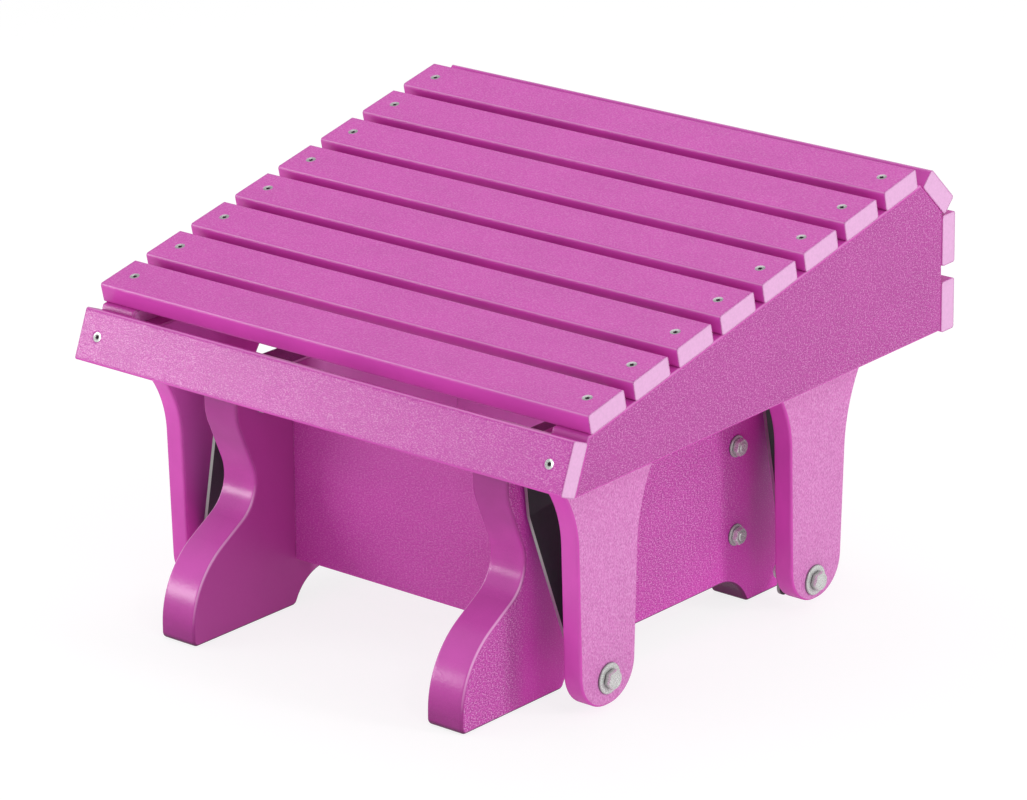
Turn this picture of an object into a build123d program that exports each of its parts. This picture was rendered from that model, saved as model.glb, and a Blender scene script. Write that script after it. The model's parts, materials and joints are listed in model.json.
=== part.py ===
from build123d import *

import os
from math import asin, cos, degrees, hypot, radians, sin, tan

# Glider ottoman in plastic lumber: a slatted, sloping footrest seat that hangs on four steel
# links from a fixed base.  Millimetres; seen from the front, +X is right, +Y back and +Z up;
# the floor is Z = 0 and the origin lies under the middle of the whole ottoman.

# ---------------------------------------------------------------- stock
board = 19.0  # thin boards: slats and apron
hanger_thick = 20.0
plank = 40.0  # thick planks: legs and side panels
beam = 38.0  # thickness of the cross panels
board_ease = 2.5  # rounding of the thin boards' long edges
plank_ease = 3.0  # rounding of the planks' outline edges

# ---------------------------------------------------------------- seat
seat_width = 559.0
slat_count = 8
slat_width = 48.0
slat_pitch = 60.6  # from one slat's front edge to the next, along the slope
seat_slope = 11.67  # climb of the slats to the back, degrees
seat_tilt = 1.1  # tip of the whole seat, back edge up, degrees
seat_rise = 2.46  # height of the seat frame's base line at the middle of the base
seat_front = 220.1  # first slat's front edge ahead of the base's middle
seat_front_height = 302.9  # the same edge above the seat frame's base line
panel_depth = 68.2  # lower edge of the side panels below the first slat's front edge
panel_front = 239.3  # lower front corner of the side panels ahead of the base's middle
apron_lean = 22.5  # front apron's lean off the upright, degrees
nose_angle = 45.0  # chamfer under the nose slat, degrees
nose_gap = 5.4  # from the last slat's back edge to the chamfer
nose_drop = 4.0  # nose slat set down along the chamfer
rear_slat_gap = 15.0
rear_slat_drop = 2.0  # lower rear slat below the panels' lower edge

# ---------------------------------------------------------------- base
link_room = 43.5  # between a leg and the hangers beside it
leg_crown = 22.0  # top of a leg above the upper pivots
leg_top_reach = 206.1  # front of a leg's head from the middle
leg_neck_drop = 36.4  # top of the leg to where its neck starts in
leg_waist_depth = 32.9  # corner of the waist curve behind the head's front
leg_waist_height = 118.6
leg_toe_reach = 267.6  # tip of a foot from the middle
leg_toe_height = 61.2  # corner of the toe's curve
arch_reach = 132.3  # inner end of a foot from the middle
arch_corner_reach = 117.8
arch_height = 28.0
leg_head_radius = 22.0
leg_neck_radius = 45.0
leg_waist_radius = 38.0
leg_toe_radius = 84.0
leg_foot_radius = 6.0
arch_radius = 44.0
cross_height = 139.7  # height of the cross panels
cross_bottom = 44.3  # their lower edge above the floor
cross_reach = 113.3  # their mid plane from the middle
cross_bolt_low = 26.4  # lower cross bolts above the panel's lower edge
cross_bolt_spread = 84.9  # upper ones above the lower ones

# ---------------------------------------------------------------- links and pivots
upper_pivot_reach = 170.0
upper_pivot_height = 210.3
lower_pivot_reach = 148.4
lower_pivot_height = 32.2
link_width = 38.0
link_thick = 3.2
link_corner = 8.0
link_end = 18.0  # strap past each pivot
upper_flat = 31.0  # pivot to the strap's upper bend
lower_flat = 25.0  # pivot to the strap's lower bend
bend_radius = 9.0  # on the strap's mid line
bush_wall = 3.1
bush_flange = 1.2
bush_flange_radius = 12.0
side_play = 0.2  # between a link and its neighbours on the bolt
pivot_clearance = 0.08  # bush on bolt, radial
open_clearance = 1.75  # the rear lower bushes on their bolts, radial
fixed_clearance = 0.15  # a bolt in a board's hole, radial

# ---------------------------------------------------------------- hangers
hanger_front_reach = 38.7  # front side at the toe, ahead of the hanger's line
hanger_flare_reach = 41.7  # front side at the flare's corner
hanger_rear_reach = 33.0  # rear side at the toe, behind the line
hanger_shoulder_reach = 42.9  # rear side at the flare's corner
front_hanger_setback = 2.7  # the line behind the bolt
rear_hanger_setback = 6.0
hanger_toe = 22.3  # rounded lower end below the bolts' mean height
hanger_toe_flat = 1.7  # hanger's width over its two toe curves
front_flare_drop = 36.0  # flare corners below the panel's lower edge
rear_flare_drop = 46.0
front_flare_radius = 100.0
rear_flare_radius = 150.0
hanger_head_front = 73.5  # head's front side ahead of the line
hanger_head_rear = 82.0
hanger_head_rise = 38.0  # head's top above the panel's lower edge
hanger_head_corner = 8.0
hanger_shoulder_rise = 4.0  # rear head corner above the panel's lower edge

# ---------------------------------------------------------------- fasteners
pivot_bolt_radius = 5.56  # seven-sixteenths
pivot_head_flats = 15.9
pivot_head_height = 6.4
pivot_nut_height = 11.0
cross_bolt_radius = 4.76  # three-eighths
cross_nut_flats = 14.3
cross_nut_height = 6.0
cross_bolt_bite = 65.0  # lag thread in the cross panel's end grain
bolt_tip = 2.5  # pivot bolt's thread past its nut
cross_bolt_tip = 1.0
washer_thick = 2.3
washer_radius = 14.2
spacer_radius = 12.0
cross_washer_radius = 10.3
cross_washer_thick = 2.0
screw_radius = 2.4
screw_head_radius = 4.6
screw_tip = 4.0
screw_inset = 20.0  # from a slat's end
screw_bite = 32.0  # below the board it holds
hanger_screw_bite = 16.0  # short of the slat screws in the panel's middle
screw_spare = 1.0  # hole past a screw's end
screw_sink = 0.3  # head below the surface
screw_clearance = 0.06
hanger_screw_rows = (12.0, 28.0)  # above the panel's lower edge
hanger_screw_front = 56.0  # ahead of the hanger's line
hanger_screw_rear = 66.0
nut_fit = 0.03  # nut and washer bores over the bolt, radial
crown_angle = 60.0  # bevel of bolt heads and nuts
crown_share = 0.95  # flat top of a head over its width across flats

# ---------------------------------------------------------------- derived places
tilt = radians(seat_tilt)
slope = radians(seat_slope)
nose = radians(nose_angle)
seat_half = seat_width / 2
panel_inner = seat_half - plank
hanger_inner = panel_inner - hanger_thick
leg_outer = hanger_inner - link_room
leg_inner = leg_outer - plank
leg_height = upper_pivot_height + leg_crown
leg_waist_reach = leg_top_reach - leg_waist_depth
panel_bottom = seat_front_height - panel_depth
hanger_toe_radius = (hanger_front_reach + hanger_rear_reach - hanger_toe_flat) / 2

last_slat_end = (slat_count - 1) * slat_pitch + slat_width
under_u = -seat_front + board * sin(slope)  # first slat's lower front edge
under_v = seat_front_height - board * cos(slope)
last_under_u = under_u + last_slat_end * cos(slope)


def under_slats(u):
    """Height of the slats' underside at depth u of the seat frame."""
    return under_v + (u - under_u) * tan(slope)


chamfer_u = last_under_u + nose_gap
chamfer_v = under_slats(chamfer_u)
seat_back = chamfer_u + slat_width * cos(nose)
panel_rear_top = chamfer_v - slat_width * sin(nose)
lean = radians(apron_lean)
panel_front_top = (under_slats(-panel_front) - panel_bottom) / (1 - tan(slope) * tan(lean))

rear_reach = (seat_back + board) * cos(tilt) - (panel_bottom - rear_slat_drop) * sin(tilt)
base_y = (leg_toe_reach - rear_reach) / 2  # middle of the base in the ottoman's own frame


# ---------------------------------------------------------------- frames of reference
def seat_point(x, u, v):
    """Point at depth u and height v of the tipped seat frame."""
    y = base_y + u * cos(tilt) - v * sin(tilt)
    z = seat_rise + u * sin(tilt) + v * cos(tilt)
    return (x, y, z)


def seat_direction(u, v):
    return (0, u * cos(tilt) - v * sin(tilt), u * sin(tilt) + v * cos(tilt))


def in_seat(y, z):
    """Seat-frame depth and height of a point given from the base's middle and the floor."""
    rise = z - seat_rise
    return (y * cos(tilt) + rise * sin(tilt), rise * cos(tilt) - y * sin(tilt))


def seat_side(x):
    """Upright plane across X in the seat frame: sketch x is depth, sketch y is height."""
    return Plane(origin=seat_point(x, 0, 0), x_dir=seat_direction(1, 0), z_dir=(1, 0, 0))


def base_side(x):
    """The same for the base, which stands level."""
    return Plane(origin=(x, base_y, 0), x_dir=(0, 1, 0), z_dir=(1, 0, 0))


def face_plane(u, v, climb, x=0):
    """Plane of a board's outer face through (u, v); sketch y runs up the climb (radians)."""
    normal = seat_direction(-sin(climb), cos(climb))
    return Plane(origin=seat_point(x, u, v), x_dir=(1, 0, 0), z_dir=normal)


def bolt_plane(side, x, y, z):
    """Plane square to X at a bolt of the right (1) or left (-1) side, facing outwards."""
    return Plane(origin=(side * x, base_y + y, z), x_dir=(0, 1, 0), z_dir=(side, 0, 0))


def hanger_screw_plane(side, u, v):
    """Plane on a hanger's inner face, facing the middle, where a screw goes in."""
    origin = seat_point(side * hanger_inner, u, v)
    return Plane(origin=origin, x_dir=seat_direction(1, 0), z_dir=(-side, 0, 0))


sides = (("left", -1), ("right", 1))
ends = (("front", -1), ("rear", 1))

upper_pivots = [
    (side, end * upper_pivot_reach, upper_pivot_height) for _, side in sides for _, end in ends
]
lower_pivots = [
    (side, end * lower_pivot_reach, lower_pivot_height) for _, side in sides for _, end in ends
]
cross_bolts_at = [
    (side, end * cross_reach, cross_bottom + cross_bolt_low + row * cross_bolt_spread)
    for _, side in sides
    for _, end in ends
    for row in (0, 1)
]

os.makedirs("parts", exist_ok=True)


def keep(part, name):
    """Label a finished piece and write it."""
    part.label = name
    export_step(part, f"parts/{name}.step")


def at(planes):
    """Locations on the given planes, for holes that run down from each."""
    return Locations(*[plane.location for plane in planes])


# ---------------------------------------------------------------- boards across the seat
slat_climbs = [slat_pitch * i for i in range(slat_count)]
board_places = {
    f"slat_{i + 1}": (
        -seat_front + run * cos(slope),
        seat_front_height + run * sin(slope),
        slope,
    )
    for i, run in enumerate(slat_climbs)
}
board_places["front_apron"] = (
    -panel_front - board * cos(lean),
    panel_bottom + board * sin(lean),
    radians(90 - apron_lean),
)
board_places["nose_slat"] = (
    chamfer_u + nose_drop * cos(nose) + board * sin(nose),
    chamfer_v - nose_drop * sin(nose) + board * cos(nose),
    -nose,
)
lower_slat_top = panel_bottom - rear_slat_drop + slat_width
board_places["rear_slat_lower"] = (seat_back + board, lower_slat_top, radians(-90))
board_places["rear_slat_upper"] = (
    seat_back + board,
    lower_slat_top + rear_slat_gap + slat_width,
    radians(-90),
)


def screw_planes(u, v, climb):
    """Planes of the two screws at a cross board's ends, on its outer face."""
    mid_u = u + slat_width / 2 * cos(climb)
    mid_v = v + slat_width / 2 * sin(climb)
    reach = seat_half - screw_inset
    return [face_plane(mid_u, mid_v, climb, side * reach) for _, side in sides]


def sunk(plane):
    """The same plane set down to where a screw head's top lies."""
    return plane.offset(-screw_sink)


head_height = screw_head_radius - screw_radius
sink_radius = screw_head_radius + screw_sink + screw_clearance
screw_hole = screw_radius + screw_clearance

for name, (u, v, climb) in board_places.items():
    with BuildPart() as cross_board:
        with BuildSketch(face_plane(u, v, climb)):
            with Locations((0, slat_width / 2)):
                Rectangle(seat_width, slat_width)
        extrude(amount=-board)
        fillet(cross_board.edges().filter_by(Axis.X), radius=board_ease)
        with at(screw_planes(u, v, climb)):
            CounterSinkHole(screw_hole, sink_radius, counter_sink_angle=90)
    keep(cross_board.part, name)

# ---------------------------------------------------------------- side panels
panel_outline = [
    (-panel_front, panel_bottom),
    (seat_back, panel_bottom),
    (seat_back, panel_rear_top),
    (chamfer_u, chamfer_v),
    (-panel_front + panel_front_top * tan(lean), panel_bottom + panel_front_top),
]
hanger_bolts = {end: in_seat(end * lower_pivot_reach, lower_pivot_height) for _, end in ends}
hanger_lines = {
    -1: hanger_bolts[-1][0] + front_hanger_setback,
    1: hanger_bolts[1][0] + rear_hanger_setback,
}


def hanger_screws(side, end):
    """Planes of the four screws that hold a hanger's head to its side panel."""
    return [
        hanger_screw_plane(side, hanger_lines[end] + reach, panel_bottom + rise)
        for reach in (-hanger_screw_front, hanger_screw_rear)
        for rise in hanger_screw_rows
    ]


board_screws = [
    plane for place in board_places.values() for plane in screw_planes(*place)
]
for name, side in sides:
    inner_face = panel_inner if side > 0 else -seat_half
    with BuildPart() as side_panel:
        with BuildSketch(seat_side(inner_face)):
            with BuildLine():
                Polyline(*panel_outline, close=True)
            make_face()
        extrude(amount=plank)
        fillet(side_panel.faces().filter_by(Axis.X).edges(), radius=board_ease)
        own = [plane for plane in board_screws if plane.origin.X * side > 0]
        with at(own):
            Hole(screw_hole, depth=board + screw_bite)
        with at(hanger_screws(side, -1) + hanger_screws(side, 1)):
            Hole(screw_hole, depth=hanger_thick + hanger_screw_bite)
    keep(side_panel.part, f"side_panel_{name}")


# ---------------------------------------------------------------- hangers
def hanger_outline(end):
    """Corners of a hanger in the seat frame, and the radius that rounds each."""
    u0 = hanger_lines[end]
    toe = (hanger_bolts[-1][1] + hanger_bolts[1][1]) / 2 - hanger_toe
    head = panel_bottom + hanger_head_rise
    corners = [
        (u0 - hanger_front_reach, toe, hanger_toe_radius),
        (u0 + hanger_rear_reach, toe, hanger_toe_radius),
        (u0 + hanger_shoulder_reach, panel_bottom - rear_flare_drop, rear_flare_radius),
        (u0 + hanger_head_rear, panel_bottom + hanger_shoulder_rise, hanger_head_corner),
        (u0 + hanger_head_rear, head, hanger_head_corner),
        (u0 - hanger_head_front, head, hanger_head_corner),
        (u0 - hanger_head_front, panel_bottom, hanger_head_corner),
        (u0 - hanger_flare_reach, panel_bottom - front_flare_drop, front_flare_radius),
    ]
    return [(u, v) for u, v, _ in corners], [radius for _, _, radius in corners]


for end_name, end in ends:
    outline, radii = hanger_outline(end)
    for name, side in sides:
        inner_face = hanger_inner if side > 0 else -panel_inner
        with BuildPart() as hanger:
            with BuildSketch(seat_side(inner_face)):
                with BuildLine():
                    FilletPolyline(*outline, radius=radii, close=True)
                make_face()
            extrude(amount=hanger_thick)
            fillet(hanger.faces().filter_by(Axis.X).edges(), radius=board_ease)
            with BuildSketch(seat_side(inner_face)):
                with Locations(hanger_bolts[end]):
                    Circle(pivot_bolt_radius + fixed_clearance)
            extrude(amount=hanger_thick, mode=Mode.SUBTRACT)
            with at(hanger_screws(side, end)):
                CounterSinkHole(screw_hole, sink_radius, counter_sink_angle=90)
        keep(hanger.part, f"hanger_{end_name}_{name}")

# ---------------------------------------------------------------- legs
half_leg = [
    (leg_top_reach, leg_height, leg_head_radius),
    (leg_top_reach, leg_height - leg_neck_drop, leg_neck_radius),
    (leg_waist_reach, leg_waist_height, leg_waist_radius),
    (leg_toe_reach, leg_toe_height, leg_toe_radius),
    (leg_toe_reach, 0, leg_foot_radius),
    (arch_reach, 0, leg_foot_radius),
    (arch_corner_reach, arch_height, arch_radius),
]
leg_corners = [(-y, z, r) for y, z, r in half_leg] + half_leg[::-1]

for name, side in sides:
    inner_face = leg_inner if side > 0 else -leg_outer
    leg_pivots = [
        bolt_plane(s, leg_outer, y, z) for s, y, z in upper_pivots if s == side
    ]
    leg_bolts = [
        bolt_plane(s, leg_outer, y, z) for s, y, z in cross_bolts_at if s == side
    ]
    with BuildPart() as leg:
        with BuildSketch(base_side(inner_face)):
            with BuildLine():
                FilletPolyline(
                    *[(y, z) for y, z, _ in leg_corners],
                    radius=[r for _, _, r in leg_corners],
                    close=True,
                )
            make_face()
        extrude(amount=plank)
        fillet(leg.faces().filter_by(Axis.X).edges(), radius=plank_ease)
        with at(leg_pivots):
            Hole(pivot_bolt_radius + fixed_clearance, depth=plank)
        with at(leg_bolts):
            Hole(cross_bolt_radius + fixed_clearance, depth=plank)
    keep(leg.part, f"leg_{name}")

# ---------------------------------------------------------------- cross panels
for name, end in ends:
    pilots = [
        bolt_plane(s, leg_inner, y, z) for s, y, z in cross_bolts_at if y * end > 0
    ]
    with BuildPart() as cross_panel:
        with BuildSketch(base_side(-leg_inner)):
            with Locations((end * cross_reach, cross_bottom + cross_height / 2)):
                Rectangle(beam, cross_height)
        extrude(amount=2 * leg_inner)
        fillet(cross_panel.edges().filter_by(Axis.X), radius=board_ease)
        with at(pilots):
            Hole(cross_bolt_radius + nut_fit, depth=cross_bolt_bite)
    keep(cross_panel.part, f"cross_panel_{name}")

# ---------------------------------------------------------------- links
spacer_face = leg_outer + washer_thick  # where the upper bush's flange starts
upper_strap = spacer_face + side_play + bush_flange  # strap's inner face at its upper flat
lower_strap = hanger_inner - washer_thick - side_play - bush_flange  # outer face, lower flat
bush_radius = pivot_bolt_radius + bush_wall
joggle = (lower_strap - link_thick) - upper_strap


def link_axes(end):
    """Unit vector up a link's centre line, and its length between pivots."""
    run = end * (upper_pivot_reach - lower_pivot_reach)
    rise = upper_pivot_height - lower_pivot_height
    length = hypot(run, rise)
    return (0, run / length, rise / length), length


def link_frame(side, end):
    """Plane across the strap's width, at the lower pivot: x outwards, y up the strap."""
    up, _ = link_axes(end)
    origin = (0, base_y + end * lower_pivot_reach, lower_pivot_height)
    normal = (0, -side * up[2], side * up[1])
    return Plane(origin=origin, x_dir=(side, 0, 0), z_dir=normal)


for end_name, end in ends:
    up, link_length = link_axes(end)
    for name, side in sides:
        mid_upper = upper_strap + link_thick / 2
        mid_lower = lower_strap - link_thick / 2
        holes = [
            bolt_plane(side, lower_strap, end * lower_pivot_reach, lower_pivot_height),
            bolt_plane(side, lower_strap, end * upper_pivot_reach, upper_pivot_height),
        ]
        with BuildPart() as link:
            with BuildSketch(link_frame(side, end)):
                with BuildLine():
                    FilletPolyline(
                        (mid_lower, -link_end),
                        (mid_lower, lower_flat),
                        (mid_upper, link_length - upper_flat),
                        (mid_upper, link_length + link_end),
                        radius=bend_radius,
                    )
                trace(line_width=link_thick)
            extrude(amount=link_width / 2, both=True)
            fillet(link.edges().filter_by(Axis.X), radius=link_corner)
            with at(holes):
                Hole(bush_radius, depth=joggle + 2 * link_thick)
        keep(link.part, f"link_{end_name}_{name}")

        lower_gap = pivot_clearance if end < 0 else open_clearance
        lower_seat = bolt_plane(
            side, lower_strap - link_thick, end * lower_pivot_reach, lower_pivot_height
        )
        upper_seat = bolt_plane(
            side, upper_strap - bush_flange, end * upper_pivot_reach, upper_pivot_height
        )
        with BuildPart() as bushes:
            with BuildSketch(lower_seat):
                Circle(bush_radius)
            extrude(amount=link_thick)
            with BuildSketch(lower_seat.offset(link_thick)):
                Circle(bush_flange_radius)
            extrude(amount=bush_flange)
            with BuildSketch(upper_seat):
                Circle(bush_flange_radius)
            extrude(amount=bush_flange)
            with BuildSketch(upper_seat.offset(bush_flange)):
                Circle(bush_radius)
            extrude(amount=link_thick)
            through = link_thick + bush_flange
            with at([lower_seat.offset(through)]):
                Hole(pivot_bolt_radius + lower_gap, depth=through)
            with at([upper_seat.offset(through)]):
                Hole(pivot_bolt_radius + pivot_clearance, depth=through)
        keep(bushes.part, f"link_{end_name}_{name}_bushes")


# ---------------------------------------------------------------- fastener patterns
def hex_blank(flats, height):
    """Hexagon on Plane.XY with a round bevelled crown."""
    with BuildPart() as blank:
        with BuildSketch(Plane.XY):
            RegularPolygon(radius=flats / 2, side_count=6, major_radius=False)
        extrude(amount=height)
        crown = flats / 2 * crown_share
        Cone(
            crown + height * tan(radians(crown_angle)),
            crown,
            height,
            align=(Align.CENTER, Align.CENTER, Align.MIN),
            mode=Mode.INTERSECT,
        )
    return blank.part


lower_head_face = panel_inner + washer_thick
lower_nut_face = lower_strap - link_thick - side_play - washer_thick
lower_bolt_length = lower_head_face - lower_nut_face + pivot_nut_height + bolt_tip
upper_head_face = upper_strap + link_thick + side_play + washer_thick
upper_nut_face = leg_inner - washer_thick
upper_bolt_length = upper_head_face - upper_nut_face + pivot_nut_height + bolt_tip


def pivot_bolt(length):
    """Hexagon bolt along Z with its head above Z = 0."""
    with BuildPart() as bolt:
        add(hex_blank(pivot_head_flats, pivot_head_height))
        with BuildSketch(Plane.XY):
            Circle(pivot_bolt_radius)
        extrude(amount=-length)
        chamfer(bolt.faces().sort_by(Axis.Z)[0].edges(), length=pivot_bolt_radius / 6)
    return bolt.part


def nut(flats, height, bolt_radius):
    """Nut on Z = 0 with its crown up."""
    with BuildPart() as hex_nut:
        add(hex_blank(flats, height))
        with Locations((0, 0, height)):
            Hole(bolt_radius + nut_fit, depth=height)
    return hex_nut.part


def washer(radius, thickness, bolt_radius):
    with BuildPart() as ring:
        with BuildSketch(Plane.XY):
            Circle(radius)
            Circle(bolt_radius + nut_fit, mode=Mode.SUBTRACT)
        extrude(amount=thickness)
    return ring.part


def wood_screw(length):
    """Countersunk screw along Z, its head's top on Z = 0."""
    with BuildPart() as screw:
        with BuildSketch(Plane.XZ):
            with BuildLine():
                Polyline(
                    (0, 0),
                    (screw_head_radius, 0),
                    (screw_radius, -head_height),
                    (screw_radius, screw_tip - length),
                    (0, -length),
                    close=True,
                )
            make_face()
        revolve(axis=Axis.Z)
    return screw.part


def place(pattern, planes, name):
    """One node of like fasteners, a copy of the pattern on each plane."""
    with BuildPart() as group:
        with at(planes):
            add(pattern)
    keep(group.part, name)


def flipped(plane):
    """The same place, facing the other way."""
    return Plane(origin=plane.origin, x_dir=plane.x_dir, z_dir=-plane.z_dir)


# ---------------------------------------------------------------- pivot hardware
big_washer = washer(washer_radius, washer_thick, pivot_bolt_radius)
spacer = washer(spacer_radius, washer_thick, pivot_bolt_radius)
lock_nut = nut(pivot_head_flats, pivot_nut_height, pivot_bolt_radius)

place(
    pivot_bolt(lower_bolt_length),
    [bolt_plane(s, lower_head_face, y, z) for s, y, z in lower_pivots],
    "lower_pivot_bolts",
)
place(
    big_washer,
    [bolt_plane(s, panel_inner, y, z) for s, y, z in lower_pivots],
    "lower_pivot_washers",
)
lower_spacer_faces = (hanger_inner - washer_thick, lower_nut_face)
place(
    spacer,
    [bolt_plane(s, x, y, z) for s, y, z in lower_pivots for x in lower_spacer_faces],
    "lower_pivot_spacers",
)
place(
    lock_nut,
    [flipped(bolt_plane(s, lower_nut_face, y, z)) for s, y, z in lower_pivots],
    "lower_pivot_nuts",
)
place(
    pivot_bolt(upper_bolt_length),
    [bolt_plane(s, upper_head_face, y, z) for s, y, z in upper_pivots],
    "upper_pivot_bolts",
)
place(
    big_washer,
    [bolt_plane(s, upper_nut_face, y, z) for s, y, z in upper_pivots],
    "upper_pivot_washers",
)
upper_spacer_faces = (leg_outer, upper_head_face - washer_thick)
place(
    spacer,
    [bolt_plane(s, x, y, z) for s, y, z in upper_pivots for x in upper_spacer_faces],
    "upper_pivot_spacers",
)
place(
    lock_nut,
    [flipped(bolt_plane(s, upper_nut_face, y, z)) for s, y, z in upper_pivots],
    "upper_pivot_nuts",
)

# ---------------------------------------------------------------- cross bolts
cross_nut_face = leg_outer + cross_washer_thick
cross_tip = cross_nut_face + cross_nut_height + cross_bolt_tip
with BuildPart() as hanger_bolt:
    Cylinder(
        cross_bolt_radius,
        cross_tip - leg_inner + cross_bolt_bite,
        align=(Align.CENTER, Align.CENTER, Align.MAX),
    )
    chamfer(hanger_bolt.faces().sort_by(Axis.Z)[-1].edges(), length=cross_bolt_radius / 6)
    chamfer(hanger_bolt.faces().sort_by(Axis.Z)[0].edges(), length=cross_bolt_radius / 2)
place(
    hanger_bolt.part,
    [bolt_plane(s, cross_tip, y, z) for s, y, z in cross_bolts_at],
    "cross_bolts",
)
place(
    washer(cross_washer_radius, cross_washer_thick, cross_bolt_radius),
    [bolt_plane(s, leg_outer, y, z) for s, y, z in cross_bolts_at],
    "cross_bolt_washers",
)
place(
    nut(cross_nut_flats, cross_nut_height, cross_bolt_radius),
    [bolt_plane(s, cross_nut_face, y, z) for s, y, z in cross_bolts_at],
    "cross_bolt_nuts",
)

# ---------------------------------------------------------------- screws
board_screw = wood_screw(board + screw_bite - screw_spare)
slat_planes = [p for i in range(slat_count) for p in screw_planes(*board_places[f"slat_{i + 1}"])]
place(board_screw, [sunk(plane) for plane in slat_planes], "slat_screws")
for name in ("front_apron", "nose_slat"):
    planes = [sunk(plane) for plane in screw_planes(*board_places[name])]
    place(board_screw, planes, f"{name}_screws")
rear_planes = [
    sunk(plane)
    for name in ("rear_slat_upper", "rear_slat_lower")
    for plane in screw_planes(*board_places[name])
]
place(board_screw, rear_planes, "rear_slat_screws")
hanger_planes = [
    sunk(plane) for _, side in sides for _, end in ends for plane in hanger_screws(side, end)
]
hanger_screw = wood_screw(hanger_thick + hanger_screw_bite - screw_spare)
place(hanger_screw, hanger_planes, "hanger_screws")

splay = degrees(asin((upper_pivot_reach - lower_pivot_reach) / link_length))
print(f"links {link_length:.1f} mm between pivots, splayed {splay:.2f} degrees")
print(f"middle of the base at y = {base_y:.2f} mm, back of the seat at {rear_reach:.1f} mm")
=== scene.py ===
"""Glider ottoman in magenta plastic lumber: finishes, detailed fasteners and a plain studio."""

import json
import math

import bmesh
import bpy
import numpy as np
from mathutils import Matrix, Vector


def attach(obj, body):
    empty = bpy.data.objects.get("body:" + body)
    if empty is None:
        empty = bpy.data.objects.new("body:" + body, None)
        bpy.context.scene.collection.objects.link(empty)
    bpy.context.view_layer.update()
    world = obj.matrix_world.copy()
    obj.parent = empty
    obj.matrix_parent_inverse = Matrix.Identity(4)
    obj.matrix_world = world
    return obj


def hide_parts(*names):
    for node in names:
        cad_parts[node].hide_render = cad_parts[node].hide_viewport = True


bl_info = {
    "name": "Glider ottoman",
    "version": (1, 0, 0),
    "blender": (4, 5, 0),
    "location": "View3D > Sidebar > Ottoman",
    "description": "Dresses a glider ottoman's frame in plastic lumber and zinc-plated steel",
    "category": "Object",
}

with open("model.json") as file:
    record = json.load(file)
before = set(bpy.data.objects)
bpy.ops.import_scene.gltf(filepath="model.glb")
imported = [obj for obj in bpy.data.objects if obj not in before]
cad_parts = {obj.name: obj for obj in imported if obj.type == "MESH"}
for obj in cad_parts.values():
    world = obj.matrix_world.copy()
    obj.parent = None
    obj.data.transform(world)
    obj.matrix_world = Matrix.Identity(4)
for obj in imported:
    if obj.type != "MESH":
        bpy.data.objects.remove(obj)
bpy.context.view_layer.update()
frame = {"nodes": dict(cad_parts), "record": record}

BODY_OF = {
    node: body
    for body, nodes in frame["record"]["behaviour"]["bodies"].items()
    for node in nodes
}
SLATS = [f"slat_{i}" for i in range(1, 9)]
CORNERS = [f"{end}_{side}" for end in ("front", "rear") for side in ("left", "right")]
HANGERS = ["hanger_" + corner for corner in CORNERS]
LINKS = ["link_" + corner for corner in CORNERS]
WIDE, DEEP, TALL = (1, 0, 0), (0, 1, 0), (0, 0, 1)
WHITE = (1, 1, 1, 1)
SPREAD = 0.3, 0.7  # between these values lies most of a noise


def srgb(red, green, blue):
    """Scene-linear colour from 0 to 255 display values, by the sRGB curve."""
    out = []
    for value in (red, green, blue):
        v = value / 255
        out.append(v / 12.92 if v <= 0.04045 else ((v + 0.055) / 1.055) ** 2.4)
    return tuple(out)


# painted light and shade on the lumber: lighter inward faces of the panels and cross panels, darker
# inward faces of the legs, a deep pink painted shade under the seat, painted light on up-facing leg
# edges and near-black painted shade on hidden leg edges; then the nylon's own colours
INSIDE_PANEL_LIGHT = srgb(248, 158, 232)
INSIDE_CROSS_LIGHT = srgb(250, 165, 235)
INSIDE_LEG_SHADE = srgb(184, 68, 158)
PAINTED_SHADE_FACE = srgb(240, 40, 205)
PAINTED_LIGHT_EDGE = srgb(228, 112, 205)
PAINTED_SHADE_EDGE = (0.02, 0.0, 0.01)
DARK_NYLON, WORN_NYLON = srgb(34, 34, 35), srgb(58, 58, 60)


# ---------------------------------------------------------------- settings
FINEST_GRAIN = 0.0002  # metres


def colour_setting(name, description, default):
    limits = {"size": 3, "min": 0, "max": 1}
    return bpy.props.FloatVectorProperty(
        name=name, description=description, subtype="COLOR", default=default, **limits
    )


def share_setting(name, description, default):
    return bpy.props.FloatProperty(
        name=name, description=description, subtype="FACTOR", default=default, min=0, max=1
    )


def length_setting(name, description, default, least=0.0):
    return bpy.props.FloatProperty(
        name=name, description=description, unit="LENGTH", default=default, min=least
    )


def power_setting(name, description, default):
    return bpy.props.FloatProperty(
        name=name, description=description, unit="POWER", default=default, min=0
    )


def brightness_setting(name, description, default):
    return bpy.props.FloatProperty(
        name=name, description=description, default=default, min=0, max=2
    )


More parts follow.
